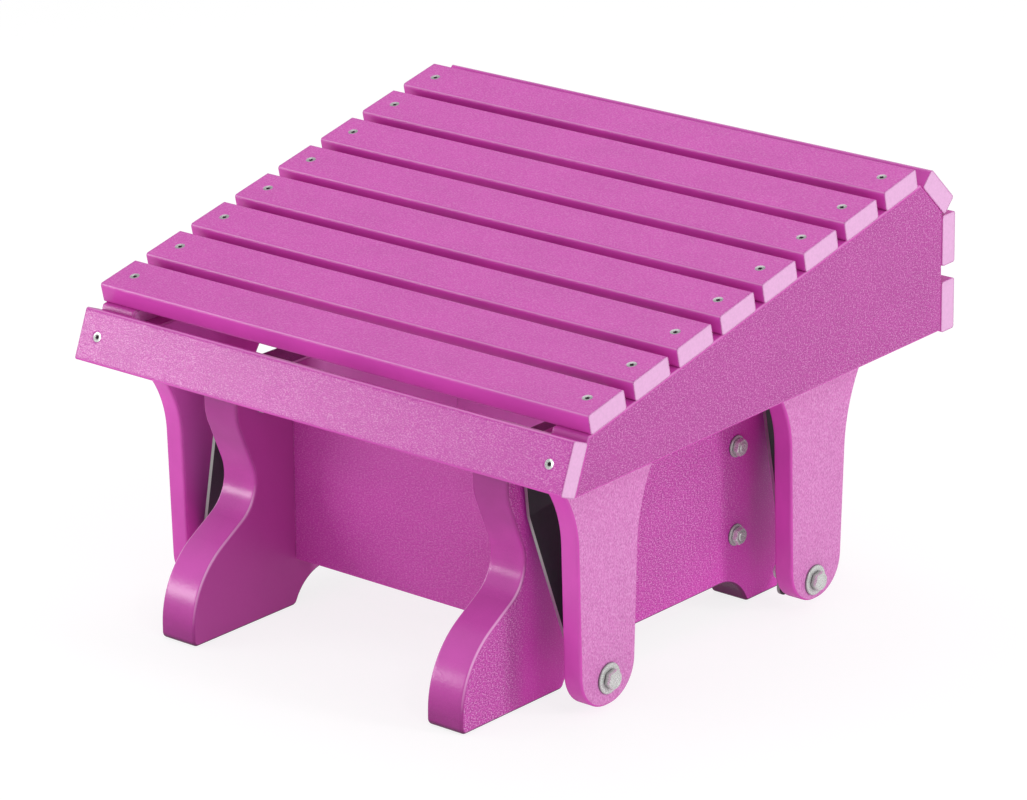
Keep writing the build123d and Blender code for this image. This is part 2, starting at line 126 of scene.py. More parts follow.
class LumberSettings(bpy.types.PropertyGroup):
    """Colours and grain of the plastic lumber."""

    thin_colour: colour_setting(
        "Thin board colour",
        "Body colour of the three-quarter inch boards",
        srgb(216, 81, 186),
    )
    plank_colour: colour_setting(
        "Plank colour", "Body colour of the thick planks", srgb(209, 74, 182)
    )
    panel_colour: colour_setting(
        "Side panel colour", "Body colour of the side panels", srgb(184, 66, 158)
    )
    cut_colour: colour_setting(
        "Routed edge colour", "Colour of the smooth routed edges", srgb(210, 76, 181)
    )
    cross_colour: colour_setting(
        "Cross panel colour", "Body colour of the cross panels", srgb(198, 62, 170)
    )
    leg_edge_colour: colour_setting(
        "Leg edge colour", "Colour of the legs' smooth routed edges", srgb(203, 64, 173)
    )
    # painted light: a lighter colour for the hangers' broad faces that look inwards, which lie in
    # shade
    painted_light_inside_colour: colour_setting(
        "Inside colour", "Colour of the hangers' broad faces that look inwards", srgb(226, 102, 202)
    )
    apron_colour: colour_setting(
        "Apron colour", "Body colour of the front apron", srgb(199, 61, 171)
    )
    # the sawn ends' own paler colour, also laid over the hangers as a painted sheen
    sawn_and_sheen_colour: colour_setting(
        "Sawn end colour", "Paler colour of the sawn board ends", srgb(221, 168, 211)
    )
    # the grain's own bright flecks, and also the painted highlight on rounded edges that face up
    fleck_and_highlight_colour: colour_setting(
        "Fleck colour",
        "Colour of the embossed grain's bright tips and of the edges that face up",
        srgb(240, 180, 228),
    )
    thin_grain: length_setting(
        "Thin board grain", "Size of one grain on the thin boards", 0.0011, FINEST_GRAIN
    )
    plank_grain: length_setting(
        "Plank grain", "Size of one grain on the thick planks", 0.0011, FINEST_GRAIN
    )
    relief: length_setting("Relief", "Depth of the embossed grain", 0.0011)
    rounding: length_setting(
        "Edge rounding", "How far the soft shading of the routed edges reaches", 0.0030
    )
    face_roughness: share_setting(
        "Broad face roughness", "Roughness of the embossed broad faces", 0.46
    )
    cut_roughness: share_setting(
        "Routed edge roughness", "Roughness of the smooth routed edges", 0.24
    )


class SteelSettings(bpy.types.PropertyGroup):
    """Colours of the links and fasteners."""

    zinc_colour: colour_setting(
        "Zinc colour", "Colour of the plated fasteners", srgb(234, 240, 234)
    )
    # painted shade colour of the plating's corners and recesses
    recess_shade_colour: colour_setting(
        "Grime colour", "Colour of the plating's shaded corners and recesses", srgb(84, 58, 82)
    )
    coat_colour: colour_setting(
        "Link coat colour", "Colour of the links' powder coat", srgb(34, 50, 42)
    )
    bare_colour: colour_setting(
        "Bare edge colour", "Colour of the links' worn sheared edges", srgb(178, 178, 176)
    )
    zinc_roughness: share_setting("Zinc roughness", "Roughness of the plating", 0.27)


class FastenerSettings(bpy.types.PropertyGroup):
    """Sizes of the bolts, nuts, washers and screws."""

    pivot_flats: length_setting(
        "Pivot head flats", "Width across flats of the pivot bolts' heads and nuts", 0.0159
    )
    pivot_head: length_setting("Pivot head height", "Height of the pivot bolts' heads", 0.0064)
    pivot_radius: length_setting("Pivot bolt radius", "Radius of the pivot bolts' shanks", 0.00556)
    pivot_thread: length_setting("Pivot bolt thread", "Length of the pivot bolts' thread", 0.024)
    pivot_pitch: length_setting("Pivot thread pitch", "Pitch of the pivot bolts' thread", 0.00181)
    cross_flats: length_setting(
        "Cross nut flats", "Width across flats of the cross bolts' nuts", 0.0143
    )
    cross_radius: length_setting("Cross bolt radius", "Radius of the cross bolts", 0.00476)
    cross_thread: length_setting(
        "Cross bolt thread", "Length of the machine thread at a cross bolt's outer end", 0.030
    )
    cross_pitch: length_setting("Cross thread pitch", "Pitch of the cross bolts' thread", 0.00159)
    screw_head: length_setting("Screw head radius", "Radius of a countersunk head", 0.0046)
    screw_shank: length_setting("Screw shank radius", "Radius over a screw's thread", 0.0024)
    recess: length_setting("Recess radius", "Radius of the star recess in a screw's head", 0.0022)
    # painted shade on the screw heads: more on the seat's sunk heads than on the apron's
    seat_screw_shade: share_setting("Seat screw grime", "Grime on the seat's sunk screw heads", 0.50)
    apron_screw_shade: share_setting("Apron screw grime", "Grime on the apron's screw heads", 0.12)


class StudioSettings(bpy.types.PropertyGroup):
    """Lamps, floor and lens."""

    lens: bpy.props.FloatProperty(
        name="Lens", description="Focal length", unit="CAMERA", default=172.42
    )
    key: power_setting("Right softbox", "Power of the lamp on the right", 74)
    front: power_setting("Front softbox", "Power of the lamp at the front left", 14)
    top: power_setting("Overhead softbox", "Power of the lamp above", 14)
    fill: power_setting("Fill", "Power of the lamp above the camera", 11)
    room: brightness_setting("Room light", "Brightness of the pale room", 0.58)
    sheen: brightness_setting("Room sheen", "Brightness of the room in reflections", 0.45)
    floor_glow: brightness_setting("Floor glow", "Light that the lit floor sends back up", 0.34)
    floor_colour: colour_setting("Floor colour", "Colour of the floor", (0.86, 0.86, 0.86))


# ---------------------------------------------------------------- node helpers
class Tree:
    """A short way to write a node tree."""

    def __init__(self, tree):
        self.tree = tree

    def add(self, kind, *inputs, **settings):
        """A node with its inputs in order (None is skipped), or by name in the dict `named`."""
        named = settings.pop("named", {})
        made = self.tree.nodes.new(kind)
        for key, value in settings.items():
            setattr(made, key, value)
        for socket, value in list(enumerate(inputs)) + list(named.items()):
            self.feed(made.inputs[socket], value)
        return made

    def feed(self, socket, value):
        """Links a node or socket, or sets a plain value; None is skipped."""
        if value is None:
            return
        if isinstance(value, bpy.types.Node):
            value = next(s for s in value.outputs if s.enabled)
        if isinstance(value, bpy.types.NodeSocket):
            self.tree.links.new(value, socket)
        else:
            socket.default_value = value

    def math(self, operation, *inputs):
        return self.add("ShaderNodeMath", *inputs, operation=operation)

    def times(self, one, two):
        return self.math("MULTIPLY", one, two)

    def parts(self, vector):
        """X, Y and Z of a vector."""
        return tuple(self.add("ShaderNodeSeparateXYZ", vector).outputs)

    def ramp(self, value, marks, low=0.0, high=1.0):
        """From low to high while the value goes from the first mark to the second."""
        return self.add("ShaderNodeMapRange", value, *marks, low, high, clamp=True)

    def blend(self, share, one, two):
        """Two colours mixed by a share."""
        made = self.add("ShaderNodeMix", data_type="RGBA", clamp_factor=True)
        for socket, value in zip((0, 6, 7), (share, one, two)):
            self.feed(made.inputs[socket], value)
        return made.outputs[2]

    def noise(self, place, scale, detail, roughness):
        """Noise from 0 to 1, in a size of about 1 / scale metres."""
        return self.add(
            "ShaderNodeTexNoise",
            named={"Vector": place, "Scale": scale, "Detail": detail, "Roughness": roughness},
        ).outputs[0]

    def mottled(self, noise, marks, colour, dark, light):
        """A colour that noise varies between two shares of it."""
        return self.blend(self.ramp(noise, marks), scaled(colour, dark), scaled(colour, light))

    def open_sky(self, reach):
        """Share of the surroundings that is free within a reach, 1 where nothing is near."""
        named = {"Distance": reach}
        return self.add("ShaderNodeAmbientOcclusion", named=named, samples=4).outputs["AO"]

    def shade(self, shader, colour, rough, metal=None):
        """Gives a shader its colour, roughness and share of metal."""
        for socket, value in (("Base Color", colour), ("Roughness", rough), ("Metallic", metal)):
            self.feed(shader.inputs[socket], value)

    def bump(self, shader, height, depth, strength=1.0, normal=None):
        """Gives a shader a relief of a height from 0 to 1."""
        named = {"Strength": strength, "Distance": depth, "Height": height, "Normal": normal}
        self.feed(shader.inputs["Normal"], self.add("ShaderNodeBump", named=named))


def new_material(name):
    """Empty node material with its Tree, a Principled shader and its own place and normal."""
    made = bpy.data.materials.new(name)
    made.use_nodes = True
    made.node_tree.nodes.clear()
    tree = Tree(made.node_tree)
    shader = tree.add("ShaderNodeBsdfPrincipled")
    tree.add("ShaderNodeOutputMaterial", shader)
    place = tree.add("ShaderNodeTexCoord").outputs
    return made, tree, shader, place["Object"], place["Normal"]


def rgba(colour):
    return (*colour[:3], 1.0)


def scaled(colour, share):
    return rgba([min(1.0, c * share) for c in colour])


# ---------------------------------------------------------------- lumber
# Each pair holds the marks between which one look turns into the next. The first six are
# measures of the surface's direction, from 0 to 1.
FACE = 0.90, 0.985  # towards the board's broad side: routed edge, broad face
END = 0.62, 0.95  # towards X: long side, sawn end
RIM_BEGINS, RIM_ENDS = (0.20, 0.45), (0.75, 0.95)  # a rounded edge beside the broad face
RIM_LIT = 0.05, 0.45  # upwards: a rounded edge without and with a painted highlight
EDGE_LIT = 0.10, 0.60  # upwards: a leg's edge without and with painted light
FACE_COVERED = 0.38, 0.56  # open sky: a leg's broad face under painted shade and without grain, a free one with grain
EDGE_HIDDEN = 0.35, 0.90  # open sky: a leg's edge under near-black painted shade, a free one
UNDER_SEAT = 0.20, 0.225  # metres from the middle: painted shade under the seat, none out on the foot
BESIDE_CROSS = 0.105, 0.130  # metres from the middle: a leg's inner face painted lighter between the cross panels, plain beyond them
NECK = 0.125, 0.175  # metres above the floor: the foot, the neck under the apron's painted shadow
PITS, TIPS, GLINT = (0.48, 0.36), (0.52, 0.62), (0.42, 0.60)  # height of the grain
FACE_CLOUD, EDGE_CLOUD = (0.34, 0.66), (0.35, 0.65)  # noise: darker and lighter patches

ALONG_GRAIN = 0.45  # how far the grain is drawn out along its board
COVER_REACH = 0.14  # metres within which other boards cover a leg and paint shade on it
PIT_SHADE, PIT_SHARE, TIP_SHARE = 0.45, 0.34, 0.48
# strongest shares of the painted shade under the seat, the painted light on up-facing leg edges and
# the near-black painted shade in hidden edges and on the neck
SEAT_SHADE_SHARE, LIT_SHARE, EDGE_SHADE_SHARE, NECK_SHADE_SHARE = 0.6, 0.45, 0.80, 0.36
# strongest share of the painted highlight on a leg's and another board's rounded edges
LEG_RIM_HIGHLIGHT_SHARE, RIM_HIGHLIGHT_SHARE = 0.8, 0.4
TIP_GLOSS = 0.7  # roughness of the grain's tips, as a share of the face's
SAW_RELIEF = 0.05  # of the embossed grain's
BASE_RELIEF = 0.15  # relief of the finest grain
SAWN_SHARE = 0.2  # share of X in a face's normal, from which it may be a sawn end


def lumber(name, broad, along, colour, coarse, sawn_ends=False, **looks):
    """Plastic lumber whose broad faces look along `broad` and whose grain runs along `along`.

    `coarse` is how strongly the grain shows. `looks` may change its size (grain), the colour of the
    routed edges (cut), the painted light and shade of the broad faces that look inwards (inside),
    the roughness (gloss), the relief, and a share of pale colour that paints a sheen (lift).
    `shaded` adds the painted shade and light of the legs, which stand under the seat.
    """
    style = bpy.context.scene.ottoman_lumber
    cut_colour = looks.get("cut", style.cut_colour)
    face_rough = looks.get("gloss", style.face_roughness)
    grain = looks.get("grain", style.thin_grain)
    inside, shaded = looks.get("inside"), looks.get("shaded", False)
    made, tree, shader, position, normal = new_material(name)
    x, y, z = tree.parts(position)
    upward = tree.parts(normal)[2]
    facing = tree.add("ShaderNodeVectorMath", normal, tuple(broad), operation="DOT_PRODUCT")
    facing = facing.outputs["Value"]
    turn = tree.math("ABSOLUTE", facing)
    face = tree.ramp(turn, FACE)
    soft = tree.add("ShaderNodeBevel", style.rounding, samples=4)

    # the embossed grain, its bright flecks and dark pits show only where light falls, a painted
    # sparkle: not on faces that look inwards or that the seat shades
    grain_in_light = 1.0
    if inside:
        sides = tree.times(y if broad == DEEP else x, facing)
        inward = tree.math("LESS_THAN", sides, 0.0)
        grain_in_light = tree.math("SUBTRACT", 1.0, inward)
    if shaded:
        sky = tree.open_sky(COVER_REACH)
        depth = tree.math("ABSOLUTE", y)
        near = tree.ramp(depth, UNDER_SEAT, 1.0, 0.0)
        seat_shade = tree.times(tree.ramp(sky, FACE_COVERED, 1.0, 0.0), near)
        grain_in_light = tree.times(grain_in_light, tree.math("SUBTRACT", 1.0, seat_shade))
    stretch = tuple(1.0 - ALONG_GRAIN * abs(a) for a in along)
    drawn = tree.add("ShaderNodeVectorMath", position, stretch, operation="MULTIPLY")
    tips = tree.noise(drawn, scale=1 / grain, detail=2.0, roughness=0.6)
    cloud = tree.noise(drawn, scale=30.0, detail=4.0, roughness=0.55)
    saw = tree.noise(position, scale=420.0, detail=3.0, roughness=0.5)

    # broad faces
    body = tree.mottled(cloud, FACE_CLOUD, colour, dark=0.97, light=1.03)
    # painted sheen: a share of the pale sawn colour over the broad faces
    if "lift" in looks:
        body = tree.blend(looks["lift"], body, rgba(style.sawn_and_sheen_colour))
    # painted shade: a deep pink on a leg's broad face where the seat covers it
    if shaded:
        body = tree.blend(tree.times(seat_shade, SEAT_SHADE_SHARE), body, rgba(PAINTED_SHADE_FACE))
    # painted light and shade on faces that look inwards: lighter on panels, cross panels and
    # hangers, darker on the legs, lighter on a leg between the cross panels
    if inside:
        inner = rgba(inside)
        if shaded:
            inner = tree.blend(tree.ramp(depth, BESIDE_CROSS), rgba(INSIDE_CROSS_LIGHT), inner)
        body = tree.blend(inward, body, inner)
    grit = tree.times(grain_in_light, coarse)
    pits = tree.times(tree.ramp(tips, PITS), grit)
    body = tree.blend(tree.times(pits, PIT_SHARE), body, scaled(colour, PIT_SHADE))
    flecks = tree.times(tree.ramp(tips, TIPS), grit)
    body = tree.blend(tree.times(flecks, TIP_SHARE), body, rgba(style.fleck_and_highlight_colour))

    # routed edges
    cut = tree.mottled(cloud, EDGE_CLOUD, cut_colour, dark=0.94, light=1.05)
    # on the legs: painted light on edges that face up
    if shaded:
        lit = tree.ramp(upward, EDGE_LIT, 0.0, LIT_SHARE)
        cut = tree.blend(lit, cut, rgba(PAINTED_LIGHT_EDGE))
        # painted shade: near-black in hidden edges and as the apron's shadow on the neck
        high = tree.ramp(z, NECK, 0.0, NECK_SHADE_SHARE)
        edge_shade = tree.ramp(sky, EDGE_HIDDEN, EDGE_SHADE_SHARE, 0.0)
        cut = tree.blend(tree.math("MAXIMUM", edge_shade, high), cut, rgba(PAINTED_SHADE_EDGE))
    whole = tree.blend(face, cut, body)
    # a painted highlight on rounded edges that face up
    rim = tree.times(tree.ramp(turn, RIM_BEGINS), tree.ramp(turn, RIM_ENDS, 1.0, 0.0))
    lit = tree.ramp(upward, RIM_LIT, 0.0, LEG_RIM_HIGHLIGHT_SHARE if shaded else RIM_HIGHLIGHT_SHARE)
    whole = tree.blend(tree.times(rim, lit), whole, rgba(style.fleck_and_highlight_colour))

    glint = tree.ramp(tips, GLINT, face_rough, face_rough * TIP_GLOSS)
    rough = tree.add("ShaderNodeMix", face, data_type="FLOAT")
    tree.feed(rough.inputs[2], style.cut_roughness)
    tree.feed(rough.inputs[3], glint)
    rough = rough.outputs[0]
    if sawn_ends:
        turned = tree.add(
            "ShaderNodeVectorTransform",
            soft,
            vector_type="NORMAL",
            convert_from="WORLD",
            convert_to="OBJECT",
        )
        ends = tree.ramp(tree.math("ABSOLUTE", tree.parts(turned)[0]), END)
        sawn = tree.mottled(saw, SPREAD, style.sawn_and_sheen_colour, dark=0.95, light=1.05)
        whole = tree.blend(ends, whole, sawn)
        rough = tree.math("MAXIMUM", rough, tree.times(ends, face_rough))
    tree.shade(shader, whole, rough)
    shader.inputs["IOR"].default_value = 1.5
    shader.inputs["Specular IOR Level"].default_value = 0.5

    # the height is centred, so that the relief starts without a step beside the edges
    embossed = tree.times(tree.math("SUBTRACT", tips, 0.5), tree.times(face, grain_in_light))
    height = tree.math("ADD", embossed, tree.times(saw, SAW_RELIEF))
    relief = style.relief * looks.get("relief", BASE_RELIEF + coarse)
    tree.bump(shader, height, relief, normal=soft)
    return made


def dress(names, material):
    """Gives CAD nodes a finish in their own material slot."""
    for name in names:
        mesh = frame["nodes"][name].data
        mesh.materials.clear()
        mesh.materials.append(material)


def broad_normal(name):
    """Unit normal of a board's broad face, the largest one that isn't a sawn end."""
    mesh = frame["nodes"][name].data
    best = max((p for p in mesh.polygons if abs(p.normal.x) < SAWN_SHARE), key=lambda p: p.area)
    return best.normal.normalized()


# ---------------------------------------------------------------- metal
CORNER_REACH = 0.006  # metres within which a corner of the plating gets painted shade
CORNER_SKY, CORNER_SHADE = (0.30, 0.70), 0.85
ZINC_CLOUD = 0.35, 0.68
# share of metal of clean plating, of plating under painted shade and of the links' bare edges
CLEAN_METAL, SHADED_METAL, BARE_METAL = 0.55, 0.3, 0.9
ROUGH_VARIES = 0.06  # to each side of the plating's roughness
COAT_ROUGH, NYLON_ROUGH = (0.30, 0.46), (0.38, 0.55)
COAT_LIGHT = 1.8  # the coat's lightest patches, as a share of its colour
WORN = 0.30, 0.42  # share of X in the normal: sheared edge, coated face
WEAR_WANDERS = 0.12  # how far the edge of the wear strays from these


def zinc():
    """Zinc-plated steel with a faint mottled plating, with painted shade in its recesses and
    corners.
    """
    style = bpy.context.scene.ottoman_steel
    made, tree, shader, position, _ = new_material("zinc_plate")
    mottle = tree.noise(position, scale=1500.0, detail=3.0, roughness=0.65)
    cloud = tree.noise(position, scale=260.0, detail=3.0, roughness=0.6)
    colour = tree.mottled(cloud, ZINC_CLOUD, style.zinc_colour, dark=0.90, light=1.0)
    # painted shade: the plating turns dark and less metallic in the recesses that the shapes mark
    # and in corners with little open sky
    recess = tree.add("ShaderNodeAttribute", attribute_name="grime", attribute_type="GEOMETRY")
    corner = tree.ramp(tree.open_sky(CORNER_REACH), CORNER_SKY, CORNER_SHADE, 0.0)
    painted_shade = tree.math("MAXIMUM", recess.outputs["Fac"], corner)
    colour = tree.blend(painted_shade, colour, rgba(style.recess_shade_colour))
    metal = tree.ramp(painted_shade, (0.0, 1.0), CLEAN_METAL, SHADED_METAL)
    low, high = style.zinc_roughness - ROUGH_VARIES, style.zinc_roughness + ROUGH_VARIES
    tree.shade(shader, colour, tree.ramp(mottle, SPREAD, low, high), metal)
    tree.bump(shader, mottle, depth=0.0001, strength=0.15)
    return made


def link_coat():
    """Black powder coat that is worn to bare steel on the sheared edges."""
    style = bpy.context.scene.ottoman_steel
    made, tree, shader, position, normal = new_material("strap_coat")
    across = tree.math("ABSOLUTE", tree.parts(normal)[0])
    wear = tree.noise(position, scale=160.0, detail=5.0, roughness=0.7)
    peel = tree.noise(position, scale=700.0, detail=2.0, roughness=0.5)
    wander = tree.ramp(wear, SPREAD, -WEAR_WANDERS, WEAR_WANDERS)
    edge = tree.ramp(tree.math("ADD", across, wander), WORN, 1.0, 0.0)
    coat = tree.blend(wear, rgba(style.coat_colour), scaled(style.coat_colour, COAT_LIGHT))
    colour = tree.blend(edge, coat, rgba(style.bare_colour))
    metal = tree.ramp(edge, (0.0, 1.0), 0.0, BARE_METAL)
    tree.shade(shader, colour, tree.ramp(peel, SPREAD, *COAT_ROUGH), metal)
    tree.bump(shader, peel, depth=0.00015, strength=0.4)
    return made


def nylon():
    """Dark moulded nylon of the bushes."""
    made, tree, shader, position, _ = new_material("bush_nylon")
    grain = tree.noise(position, scale=1200.0, detail=2.0, roughness=0.5)
    colour = tree.blend(grain, rgba(DARK_NYLON), rgba(WORN_NYLON))
    tree.shade(shader, colour, tree.ramp(grain, SPREAD, *NYLON_ROUGH))
    tree.bump(shader, grain, depth=0.0001, strength=0.2)
    return made


def finish_of(name, make):
    """The named material, made once."""
    return bpy.data.materials.get(name) or make()


# ---------------------------------------------------------------- turned shapes
SEGMENTS = 48
TURN = np.arange(SEGMENTS) / SEGMENTS  # each angle of a ring, as a share of a turn
ANGLE = np.arange(SEGMENTS) * 2 * math.pi / SEGMENTS
FINE = 0.0006  # metres: an undercut, a lead-in or a head's dish
CLEARANCE = 0.00003  # metres between a bolt and what turns on it
CHAMFER_SLOPE = 1.75  # how far a hexagon's chamfer runs out for each unit down
THREAD_DEPTH = 0.55  # of the pitch
RINGS_A_PITCH = 6
LAG_PITCH = 2.2  # of the machine thread's pitch
SCREW_PITCH = 0.0026
SHANK_SHARE, LAG_SHARE = 0.42, 0.45  # plain part of a screw's and a hanger bolt's length


def hexagon(flats):
    """Radius of a hexagon at each angle of a ring."""
    side = math.pi / 3
    return flats / 2 / np.cos((ANGLE + side / 2) % side - side / 2)


def star(radius, lobe):
    """Radius of a six-lobed recess at each angle of a ring."""
    return radius * (1 - lobe / 2) + radius * lobe / 2 * np.cos(6 * ANGLE)


def ring(radius, height):
    """One ring of points: radius is a number or one for each angle."""
    r = np.broadcast_to(radius, SEGMENTS)
    z = np.broadcast_to(height, SEGMENTS)
    return np.stack([r * np.cos(ANGLE), r * np.sin(ANGLE), z], 1)


def rings_of(*rows):
    """Rings from rows of radius and height."""
    return [ring(radius, height) for radius, height in rows]


def skin(name, rings, hollow=False, smooth=35, grime=()):
    """Mesh over rings in order; a hollow one joins its last ring to its first, others get caps.

    Edges sharper than `smooth` degrees stay crisp. `grime` gives the first rings' share of
    painted shade, the rest get none.
    """
    mesh = bpy.data.meshes.new(name)
    shell = bmesh.new()
    rows = [[shell.verts.new(point) for point in one] for one in rings]
    pairs = list(zip(rows, rows[1:])) + ([(rows[-1], rows[0])] if hollow else [])
    for low, high in pairs:
        for i in range(SEGMENTS):
            j = (i + 1) % SEGMENTS
            shell.faces.new((low[i], low[j], high[j], high[i]))
    if not hollow:
        for row in (rows[0], rows[-1]):
            centre = shell.verts.new(sum((v.co for v in row), Vector()) / SEGMENTS)
            for i in range(SEGMENTS):
                shell.faces.new((row[i], row[(i + 1) % SEGMENTS], centre))
    bmesh.ops.recalc_face_normals(shell, faces=shell.faces)
    shell.to_mesh(mesh)
    shell.free()
    for polygon in mesh.polygons:
        polygon.use_smooth = True
    mesh.set_sharp_from_angle(angle=math.radians(smooth))
    shares = np.zeros(len(mesh.vertices))
    for row, share in enumerate(grime):
        shares[row * SEGMENTS : (row + 1) * SEGMENTS] = share
    if grime and not hollow:
        shares[len(rings) * SEGMENTS] = grime[0]  # the first cap's centre
    mesh.attributes.new("grime", "FLOAT", "POINT").data.foreach_set("value", shares)
    return mesh


def thread_rings(radius, pitch, start, end):
    """Rings of a real helical thread from height start down to end."""
    count = max(2, int(abs(start - end) / pitch * RINGS_A_PITCH))
    rings = []
    for height in np.linspace(start, end, count):
        phase = (height / pitch - TURN) % 1.0
        # flat at the crest and the root, with sloping flanks between them
        crest = np.clip(1.25 - np.abs(phase * 2 - 1) * 1.5, 0, 1)
        fade = min(1.0, abs(height - start) / pitch, abs(height - end) / pitch)
        rings.append(ring(radius - THREAD_DEPTH * pitch * (1 - crest) * fade, height))
    return rings


def chamfer_rings(shape, crown, steps, height, way):
    """Rings of a hexagon's chamfer: each step leads away from its end face at a height."""
    return [ring(np.minimum(shape, crown + s * CHAMFER_SLOPE), height + way * s) for s in steps]


def hex_head_rings(flats, bottom):
    """Bevelled hexagon from its dished top face at Z = 0 to the washer face under it."""
    shape, half = hexagon(flats), flats / 2
    crown = half * 0.93
    rings = rings_of((crown * 0.62, -FINE), (crown * 0.80, -FINE), (crown * 0.88, 0.0))
    rings += chamfer_rings(shape, crown, (0, 0.0003, 0.0008, 0.0016, 0.0026), 0.0, -1)
    return rings + rings_of(
        (shape, -0.0034),
        (shape, bottom + FINE),
        (shape * 0.985, bottom + 0.0004),
        (half * 0.96, bottom + 0.0004),
        (half * 0.95, bottom),
    )


def bolt_shape(flats, head, radius, length, thread, pitch):
    """Hexagon bolt: head's top at Z = 0, shank down, with a rolled thread at its end."""
    rings = hex_head_rings(flats, -head)
    rings += rings_of((radius * 1.04, -head), (radius, -head - FINE), (radius, thread - length))
    rings += thread_rings(radius, pitch, thread - length - 0.0004, 2 * FINE - length)
    rings += rings_of((radius * 0.88, FINE - length), (radius * 0.78, -length))
    # painted shade, darker down the head's sides to the washer face under it
    grime = (0.0,) * 7 + (0.15, 0.35, 0.5, 0.8, 0.9, 0.9)
    return skin("bolt_shape", rings, smooth=20, grime=grime)


def stud_shape(radius, length, thread, pitch):
    """Hanger bolt: machine thread at the outer end (Z = 0), lag thread at the inner one."""
    plain = -length * LAG_SHARE
    rings = rings_of((radius * 0.80, 0.0), (radius * 0.9, -0.0005))
    rings += thread_rings(radius, pitch, -0.001, -thread)
    rings += rings_of((radius, -thread - 0.001), (radius, plain))
    rings += thread_rings(radius, pitch * LAG_PITCH, plain - 0.001, 0.006 - length)
    rings += rings_of((radius * 0.75, 0.004 - length), (radius * 0.45, -length))
    return skin("stud_shape", rings)


def nut_shape(flats, height, bore, collar=0.0):
    """Nut with both faces bevelled, its outer end at Z = 0; a collar makes a lock nut."""
    shape, crown, top = hexagon(flats), flats / 2 * 0.94, -collar
    steps = (0, 0.0003, 0.0009, 0.0018)
    if collar:
        rings = rings_of(
            (bore * 1.06, 0.0),
            (bore * 1.42, 0.0),
            (bore * 1.50, -0.0007),
            (bore * 1.50, top + 0.0004),
        )
    else:
        rings = rings_of((bore * 1.05, top))
    rings += chamfer_rings(shape, crown, steps, top, -1)
    rings += rings_of((shape, top - 0.0026), (shape, 0.0026 - height))
    rings += chamfer_rings(shape, crown, steps[::-1], -height, 1)
    rings += rings_of((bore * 1.05, -height), (bore, FINE - height), (bore, -FINE))
    return skin("nut_shape", rings, hollow=True, smooth=20)


def washer_shape(radius, thickness, bore):
    """Flat washer with a rolled outer edge from punching, its outer face at Z = 0."""
    soft = thickness * 0.35
    rings = rings_of(
        (bore, -soft * 0.5),
        (bore + soft * 0.5, 0.0),
        (radius - soft * 1.6, 0.0),
        (radius - soft * 0.5, -soft * 0.3),
        (radius, -soft),
        (radius, soft * 0.3 - thickness),
        (radius - soft * 0.3, -thickness),
        (bore, -thickness),
    )
    # painted shade at the bore and down the outer rim
    return skin("washer_shape", rings, hollow=True, grime=(0.7, 0.35, 0.0, 0.25, 0.60, 0.9))


def screw_shape(head, shank, recess, length, wear):
    """Countersunk deck screw with a star recess, its head's top at Z = 0."""
    outline, neck, plain = star(recess, 0.30), shank - head, -length * SHANK_SHARE
    rings = rings_of(
        (outline * 0.62, -0.0026),
        (outline * 0.92, -0.0023),
        (outline, -0.0004),
        (outline * 1.10, -0.00030),
        (head * 0.80, -0.00012),
        (head * 0.96, 0.0),
        (head, -0.0004),
        (head * 0.985, -0.0007),
        (shank * 1.05, neck - 0.0004),
        (shank * 0.80, neck - 0.0016),
        (shank * 0.80, plain),
    )
    rings += thread_rings(shank, SCREW_PITCH, plain - 0.0004, 0.005 - length)
    rings += rings_of((shank * 0.55, 0.003 - length), (shank * 0.12, -length))
    # painted shade: dark in the recess and round the head's rim, `wear` sets its share on the
    # head's face
    return skin("screw_shape", rings, grime=(1.0, 1.0, 0.9, wear, wear, wear * 0.5, 0.8, 0.9))


# ---------------------------------------------------------------- planting fasteners
MERGE, END_BAND = 1e-6, 1e-4  # metres: points that are one, points that lie on an end face
WRENCH_TURN, DRIVER_TURN = 0.30, 6.28  # greatest random turn of bolts and screws, in radians
PLANT_INPUTS = {
    "Geometry": "Geometry",
    "Pattern": "Object",
    "Size": "Float",
    "Loose Turn": "Float",
    "Seed": "Int",
    "Finish": "Material",
}


def solids_of(name):
    """Vertex arrays of a CAD node's separate solids, each an N x 3 array."""
    copy = bmesh.new()
    copy.from_mesh(frame["nodes"][name].data)
    bmesh.ops.remove_doubles(copy, verts=copy.verts, dist=MERGE)
    copy.verts.ensure_lookup_table()
    seen, found = set(), []
    for start in copy.verts:
        if start.index in seen:
            continue
        seen.add(start.index)
        queue, group = [start], []
        while queue:
            vert = queue.pop()
            group.append(tuple(vert.co))
            for edge in vert.link_edges:
                other = edge.other_vert(vert)
                if other.index not in seen:
                    seen.add(other.index)
                    queue.append(other)
        found.append(np.array(group))
    copy.free()
    return found


def side_seats(name, inward=False):
    """Outer end, outward axis and length of each solid whose axis is X."""
    seats = []
    for points in solids_of(name):
        middle = (points.min(0) + points.max(0)) / 2
        out = math.copysign(1, middle[0]) * (-1 if inward else 1)
        end = points[:, 0].max() if out > 0 else points[:, 0].min()
        seats.append(((end, middle[1], middle[2]), (out, 0, 0), np.ptp(points[:, 0])))
    return seats


def screw_seats(name):
    """Head's top, outward axis and length of each screw, from its own long axis."""
    seats = []
    for points in solids_of(name):
        spread = points - points.mean(0)
        axis = np.linalg.svd(spread, full_matrices=False)[2][0]
        reach = spread @ axis
        radius = np.linalg.norm(spread - np.outer(reach, axis), axis=1)
        if reach[radius.argmax()] < 0:
            axis, reach = -axis, -reach
        top = points[reach > reach.max() - END_BAND].mean(0)
        seats.append((tuple(top), tuple(axis), np.ptp(reach)))
    return seats


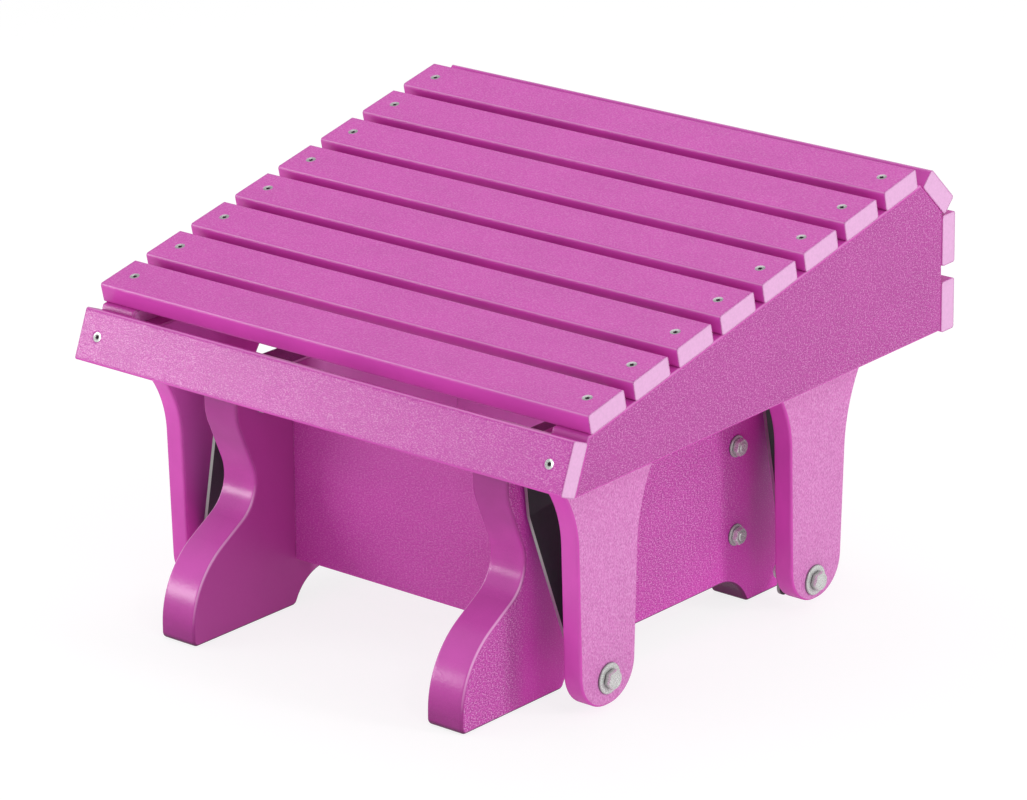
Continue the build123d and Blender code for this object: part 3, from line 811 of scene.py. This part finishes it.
def plant_tree():
    """Geometry Nodes: one copy of a pattern stands on each point, along its axis."""
    tree = bpy.data.node_groups.new("stand_fasteners", "GeometryNodeTree")
    face = tree.interface
    for name, kind in PLANT_INPUTS.items():
        socket = face.new_socket(name, in_out="INPUT", socket_type="NodeSocket" + kind)
        if name == "Size":
            socket.default_value = 1.0
    face.new_socket("Geometry", in_out="OUTPUT", socket_type="NodeSocketGeometry")
    t = Tree(tree)
    given = t.add("NodeGroupInput").outputs
    axis = t.add("GeometryNodeInputNamedAttribute", "axis", data_type="FLOAT_VECTOR")
    stand = t.add("FunctionNodeAlignRotationToVector", None, None, axis, axis="Z")
    turn = t.add("FunctionNodeRandomValue", data_type="FLOAT")
    # sockets 2, 3 and 8 are the float's least and greatest value and the seed
    turn.inputs[2].default_value = 0.0
    t.feed(turn.inputs[3], given["Loose Turn"])
    t.feed(turn.inputs[8], given["Seed"])
    spin = t.add("ShaderNodeCombineXYZ", None, None, turn.outputs[1])
    about = t.add("FunctionNodeEulerToRotation", spin)
    whole = t.add("FunctionNodeRotateRotation", stand, about, rotation_space="LOCAL")
    pattern = t.add("GeometryNodeObjectInfo", given["Pattern"], transform_space="ORIGINAL")
    stood = t.add(
        "GeometryNodeInstanceOnPoints",
        named={
            "Points": given["Geometry"],
            "Instance": pattern.outputs["Geometry"],
            "Rotation": whole,
            "Scale": given["Size"],
        },
    )
    real = t.add("GeometryNodeRealizeInstances", stood)
    coloured = t.add("GeometryNodeSetMaterial", real, named={"Material": given["Finish"]})
    t.add("NodeGroupOutput", coloured)
    return tree


def plant(node, seats, shape, loose_turn=0.0, seed=3):
    """A copy of the shape on each seat, baked to one plain mesh that stands for a CAD node."""
    name, body = node[:-1] + "_set", BODY_OF[node]
    finish = finish_of("zinc_plate", zinc)
    points = bpy.data.meshes.new(name)
    points.from_pydata([seat[0] for seat in seats], [], [])
    axes = points.attributes.new("axis", "FLOAT_VECTOR", "POINT")
    axes.data.foreach_set("vector", [c for seat in seats for c in seat[1]])
    carrier = bpy.data.objects.new(name + "_points", points)
    pattern = bpy.data.objects.new(name + "_pattern", shape)
    for made in (carrier, pattern):
        bpy.context.scene.collection.objects.link(made)
    tree = bpy.data.node_groups.get("stand_fasteners") or plant_tree()
    modifier = carrier.modifiers.new("stand", "NODES")
    modifier.node_group = tree
    values = {"Pattern": pattern, "Loose Turn": loose_turn, "Seed": seed, "Finish": finish}
    for item in tree.interface.items_tree:
        if item.in_out == "INPUT" and item.name in values:
            modifier[item.identifier] = values[item.name]
    bpy.context.view_layer.update()
    depsgraph = bpy.context.evaluated_depsgraph_get()
    mesh = bpy.data.meshes.new_from_object(carrier.evaluated_get(depsgraph))
    if not mesh.polygons:
        raise RuntimeError(f"{name}: the nodes made no faces")
    mesh.name = name
    for made in (carrier, pattern):
        bpy.data.objects.remove(made)
    piece = bpy.data.objects.new(name, mesh)
    bpy.context.scene.collection.objects.link(piece)
    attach(piece, body)
    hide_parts(node)


# ---------------------------------------------------------------- studio
# The photograph's camera: its place in metres, and the image's right, down and depth.
CAMERA_PLACE = (2.674367, -3.211865, 1.658074)
IMAGE_RIGHT = Vector((0.76909566, 0.6391215, -0.00394624))
IMAGE_DOWN = Vector((0.20937235, -0.25777515, -0.94324715))
IMAGE_DEPTH = Vector((-0.60386677, 0.72462106, -0.33206812))
SENSOR_WIDTH = 36.0
CLIP = 0.1, 60

LAMP_TARGET = Vector((0, 0, 0.2))
# name, direction from the target, distance, width, height, setting that holds its power
LAMPS = (
    ("right_softbox", (0.93, 0.27, 0.30), 5.0, 0.88, 0.88, "key"),
    ("front_softbox", (-0.702, -0.670, 0.140), 2.34, 1.2, 0.40, "front"),
    ("overhead_softbox", (-0.25, 0.25, 1.0), 2.4, 1.80, 1.80, "top"),
    ("fill_softbox", (0.70, -0.30, 0.62), 4.0, 0.6, 0.6, "fill"),
)
UNREFLECTED = "right_softbox"  # seen in the slats from the other side, it burns them white

FLOOR_REACH, FLOOR_DROP = 14.0, 0.0002
FLOOR_DIMMED = 0.45  # share by which reflections of the floor are dimmed
FLOOR_WHITE = 0.72  # share of plain white that the camera sees over the shadow


class OTTOMAN_OT_stage(bpy.types.Operator):
    """Pale floor, soft studio lamps and the photograph's camera"""

    bl_idname = "ottoman.stage"
    bl_label = "Studio"

    def execute(self, context):
        style = context.scene.ottoman_studio
        scene = context.scene
        scene.view_settings.view_transform = "Standard"
        self.camera(scene, style)
        self.floor(scene, style)
        for lamp in LAMPS:
            self.lamp(scene, style, *lamp)
        self.room(scene, style)
        return {"FINISHED"}

    def camera(self, scene, style):
        lens = bpy.data.cameras.new("photo_lens")
        lens.sensor_width = SENSOR_WIDTH
        lens.sensor_fit = "HORIZONTAL"
        lens.lens = style.lens
        lens.clip_start, lens.clip_end = CLIP
        camera = bpy.data.objects.new("photo_camera", lens)
        turn = Matrix((IMAGE_RIGHT, -IMAGE_DOWN, -IMAGE_DEPTH)).transposed().to_4x4()
        camera.matrix_world = Matrix.Translation(CAMERA_PLACE) @ turn
        scene.collection.objects.link(camera)
        scene.camera = camera

    def floor(self, scene, style):
        mesh = bpy.data.meshes.new("floor")
        signs = ((-1, -1), (1, -1), (1, 1), (-1, 1))
        corners = [(x * FLOOR_REACH, y * FLOOR_REACH, 0) for x, y in signs]
        mesh.from_pydata(corners, [], [(0, 1, 2, 3)])
        mesh.materials.append(self.floor_finish(style))
        floor = bpy.data.objects.new("floor", mesh)
        floor.location.z = -FLOOR_DROP
        scene.collection.objects.link(floor)

    def floor_finish(self, style):
        made = bpy.data.materials.new("pale_floor")
        made.use_nodes = True
        made.node_tree.nodes.clear()
        tree = Tree(made.node_tree)
        seen = tree.add("ShaderNodeLightPath").outputs
        plain = tree.add("ShaderNodeBsdfDiffuse", rgba(style.floor_colour))
        glow = tree.add("ShaderNodeEmission", WHITE, style.floor_glow)
        plain = tree.add("ShaderNodeAddShader", plain, glow)
        dimmed = tree.times(seen["Is Glossy Ray"], FLOOR_DIMMED)
        plain = tree.add("ShaderNodeMixShader", dimmed, plain, None)
        white = tree.add("ShaderNodeEmission", WHITE, 1.0)
        share = tree.times(seen["Is Camera Ray"], FLOOR_WHITE)
        both = tree.add("ShaderNodeMixShader", share, plain, white)
        tree.add("ShaderNodeOutputMaterial", both)
        return made

    def lamp(self, scene, style, name, towards, distance, width, height, setting):
        data = bpy.data.lights.new(name, "AREA")
        data.shape = "RECTANGLE"
        data.size, data.size_y = width, height
        data.energy = getattr(style, setting)
        made = bpy.data.objects.new(name, data)
        way = Vector(towards).normalized()
        made.location = LAMP_TARGET + way * distance
        made.rotation_mode = "QUATERNION"
        made.rotation_quaternion = way.to_track_quat("Z", "Y")
        made.visible_glossy = name != UNREFLECTED
        scene.collection.objects.link(made)

    def room(self, scene, style):
        world = scene.world or bpy.data.worlds.new("room")
        scene.world = world
        world.use_nodes = True
        world.node_tree.nodes.clear()
        tree = Tree(world.node_tree)
        seen = tree.add("ShaderNodeLightPath").outputs
        shown = tree.math("MAXIMUM", seen["Is Camera Ray"], seen["Is Transmission Ray"])
        unseen = tree.ramp(seen["Is Glossy Ray"], (0.0, 1.0), style.room, style.sheen)
        strength = tree.ramp(shown, (0.0, 1.0), unseen, 1.0)
        back = tree.add("ShaderNodeBackground", WHITE, strength)
        tree.add("ShaderNodeOutputWorld", back)


# ---------------------------------------------------------------- boards and links
class OTTOMAN_OT_slats(bpy.types.Operator):
    """Finish of the eight slats across the seat"""

    bl_idname = "ottoman.slats"
    bl_label = "Seat slats"

    def execute(self, context):
        style = context.scene.ottoman_lumber
        broad, colour = broad_normal("slat_4"), style.thin_colour
        dress(SLATS, lumber("slat_lumber", broad, WIDE, colour, coarse=0.45, sawn_ends=True))
        return {"FINISHED"}


class OTTOMAN_OT_edge_boards(bpy.types.Operator):
    """Finish of the front apron, the nose slat and the two rear slats"""

    bl_idname = "ottoman.edge_boards"
    bl_label = "Apron, nose and rear slats"

    def execute(self, context):
        style = context.scene.ottoman_lumber
        made = lumber(
            "apron_lumber",
            broad_normal("front_apron"),
            WIDE,
            style.apron_colour,
            coarse=0.8,
            sawn_ends=True,
            grain=style.thin_grain * 0.85,
            gloss=0.22,
            relief=0.25,
        )
        dress(["front_apron"], made)
        for nodes in (["nose_slat"], ["rear_slat_upper", "rear_slat_lower"]):
            name, broad = nodes[0] + "_lumber", broad_normal(nodes[0])
            made = lumber(name, broad, WIDE, style.thin_colour, coarse=0.5, sawn_ends=True)
            dress(nodes, made)
        return {"FINISHED"}


class OTTOMAN_OT_side_panels(bpy.types.Operator):
    """Finish of the side panels under the slats"""

    bl_idname = "ottoman.side_panels"
    bl_label = "Side panels"

    def execute(self, context):
        style = context.scene.ottoman_lumber
        made = lumber(
            "panel_lumber",
            WIDE,
            DEEP,
            style.panel_colour,
            coarse=0.85,
            grain=style.plank_grain,
            inside=INSIDE_PANEL_LIGHT,
        )
        dress(["side_panel_left", "side_panel_right"], made)
        return {"FINISHED"}


class OTTOMAN_OT_hangers(bpy.types.Operator):
    """Finish of the four hangers"""

    bl_idname = "ottoman.hangers"
    bl_label = "Hangers"

    def execute(self, context):
        style = context.scene.ottoman_lumber
        made = lumber(
            "hanger_lumber",
            WIDE,
            TALL,
            style.thin_colour,
            coarse=1.0,
            inside=style.painted_light_inside_colour,
            lift=0.42,
        )
        dress(HANGERS, made)
        return {"FINISHED"}


class OTTOMAN_OT_legs(bpy.types.Operator):
    """Finish of the two legs"""

    bl_idname = "ottoman.legs"
    bl_label = "Legs"

    def execute(self, context):
        style = context.scene.ottoman_lumber
        made = lumber(
            "leg_lumber",
            WIDE,
            DEEP,
            style.plank_colour,
            coarse=1.6,
            grain=style.plank_grain,
            cut=style.leg_edge_colour,
            inside=INSIDE_LEG_SHADE,
            shaded=True,
        )
        dress(["leg_left", "leg_right"], made)
        return {"FINISHED"}


class OTTOMAN_OT_cross_panels(bpy.types.Operator):
    """Finish of the two cross panels between the legs"""

    bl_idname = "ottoman.cross_panels"
    bl_label = "Cross panels"

    def execute(self, context):
        style = context.scene.ottoman_lumber
        made = lumber(
            "cross_lumber",
            DEEP,
            WIDE,
            style.cross_colour,
            coarse=0.45,
            sawn_ends=True,
            inside=INSIDE_CROSS_LIGHT,
        )
        dress(["cross_panel_front", "cross_panel_rear"], made)
        return {"FINISHED"}


class OTTOMAN_OT_links(bpy.types.Operator):
    """Finish of the four swing links and their bushes"""

    bl_idname = "ottoman.links"
    bl_label = "Links"

    def execute(self, context):
        dress(LINKS, finish_of("strap_coat", link_coat))
        dress([name + "_bushes" for name in LINKS], finish_of("bush_nylon", nylon))
        return {"FINISHED"}


# ---------------------------------------------------------------- fasteners
class OTTOMAN_OT_pivot_bolts(bpy.types.Operator):
    """Pivot bolts with bevelled heads and rolled threads"""

    bl_idname = "ottoman.pivot_bolts"
    bl_label = "Pivot bolts"

    def execute(self, context):
        size = context.scene.ottoman_fasteners
        for node in ("upper_pivot_bolts", "lower_pivot_bolts"):
            seats = side_seats(node)
            shape = bolt_shape(
                size.pivot_flats,
                size.pivot_head,
                size.pivot_radius,
                seats[0][2],
                size.pivot_thread,
                size.pivot_pitch,
            )
            plant(node, seats, shape, WRENCH_TURN, seed=5)
        return {"FINISHED"}


class OTTOMAN_OT_pivot_nuts(bpy.types.Operator):
    """Lock nuts on the pivot bolts"""

    bl_idname = "ottoman.pivot_nuts"
    bl_label = "Pivot lock nuts"

    def execute(self, context):
        size = context.scene.ottoman_fasteners
        for node in ("upper_pivot_nuts", "lower_pivot_nuts"):
            seats = side_seats(node, inward=True)
            bore = size.pivot_radius + CLEARANCE
            shape = nut_shape(size.pivot_flats, seats[0][2], bore, collar=0.003)
            plant(node, seats, shape, WRENCH_TURN, seed=9)
        return {"FINISHED"}


class OTTOMAN_OT_washers(bpy.types.Operator):
    """Washers and spacers of the pivots and cross bolts"""

    bl_idname = "ottoman.washers"
    bl_label = "Washers and spacers"

    def execute(self, context):
        size = context.scene.ottoman_fasteners
        bores = {
            "upper_pivot_washers": size.pivot_radius,
            "upper_pivot_spacers": size.pivot_radius,
            "lower_pivot_washers": size.pivot_radius,
            "lower_pivot_spacers": size.pivot_radius,
            "cross_bolt_washers": size.cross_radius,
        }
        for node, bore in bores.items():
            seats = side_seats(node)
            radius = np.ptp(solids_of(node)[0][:, 1]) / 2
            shape = washer_shape(radius, seats[0][2], bore + CLEARANCE)
            plant(node, seats, shape)
        return {"FINISHED"}


class OTTOMAN_OT_cross_bolts(bpy.types.Operator):
    """Hanger bolts and nuts that hold the cross panels"""

    bl_idname = "ottoman.cross_bolts"
    bl_label = "Cross bolts and nuts"

    def execute(self, context):
        size = context.scene.ottoman_fasteners
        radius = size.cross_radius
        seats = side_seats("cross_bolts")
        shape = stud_shape(radius, seats[0][2], size.cross_thread, size.cross_pitch)
        plant("cross_bolts", seats, shape)
        seats = side_seats("cross_bolt_nuts")
        shape = nut_shape(size.cross_flats, seats[0][2], radius + CLEARANCE)
        plant("cross_bolt_nuts", seats, shape, WRENCH_TURN, seed=4)
        return {"FINISHED"}


class OTTOMAN_OT_screws(bpy.types.Operator):
    """Countersunk deck screws with star recesses"""

    bl_idname = "ottoman.screws"
    bl_label = "Deck screws"

    def execute(self, context):
        size = context.scene.ottoman_fasteners
        for board in ("slat", "front_apron", "nose_slat", "rear_slat", "hanger"):
            node = board + "_screws"
            seats = screw_seats(node)
            # share of painted shade on the heads, less on the apron's screws
            wear = size.apron_screw_shade if board == "front_apron" else size.seat_screw_shade
            shape = screw_shape(size.screw_head, size.screw_shank, size.recess, seats[0][2], wear)
            plant(node, seats, shape, DRIVER_TURN, seed=11)
        return {"FINISHED"}


class OTTOMAN_PT_panel(bpy.types.Panel):
    """Lists the ottoman's pieces"""

    bl_label = "Glider ottoman"
    bl_idname = "OTTOMAN_PT_panel"
    bl_space_type = "VIEW_3D"
    bl_region_type = "UI"
    bl_category = "Ottoman"

    def draw(self, context):
        for operator in OPERATORS:
            self.layout.operator(operator.bl_idname)
        for name, group in SETTINGS.items():
            box = self.layout.box()
            for key in group.__annotations__:
                box.prop(getattr(context.scene, name), key)


SETTINGS = {
    "ottoman_lumber": LumberSettings,
    "ottoman_steel": SteelSettings,
    "ottoman_fasteners": FastenerSettings,
    "ottoman_studio": StudioSettings,
}
OPERATORS = (
    OTTOMAN_OT_stage,
    OTTOMAN_OT_slats,
    OTTOMAN_OT_edge_boards,
    OTTOMAN_OT_side_panels,
    OTTOMAN_OT_hangers,
    OTTOMAN_OT_legs,
    OTTOMAN_OT_cross_panels,
    OTTOMAN_OT_links,
    OTTOMAN_OT_pivot_bolts,
    OTTOMAN_OT_pivot_nuts,
    OTTOMAN_OT_washers,
    OTTOMAN_OT_cross_bolts,
    OTTOMAN_OT_screws,
)


def register():
    for group in SETTINGS.values():
        bpy.utils.register_class(group)
    for operator in OPERATORS:
        bpy.utils.register_class(operator)
    bpy.utils.register_class(OTTOMAN_PT_panel)
    for name, group in SETTINGS.items():
        setattr(bpy.types.Scene, name, bpy.props.PointerProperty(type=group))


def unregister():
    for name in SETTINGS:
        delattr(bpy.types.Scene, name)
    bpy.utils.unregister_class(OTTOMAN_PT_panel)
    for operator in reversed(OPERATORS):
        bpy.utils.unregister_class(operator)
    for group in reversed(SETTINGS.values()):
        bpy.utils.unregister_class(group)


def main():
    """Builds the dressed ottoman."""
    register()
    for operator in OPERATORS:
        getattr(bpy.ops.ottoman, operator.bl_idname.split(".")[1])()


if __name__ == "__main__":
    main()
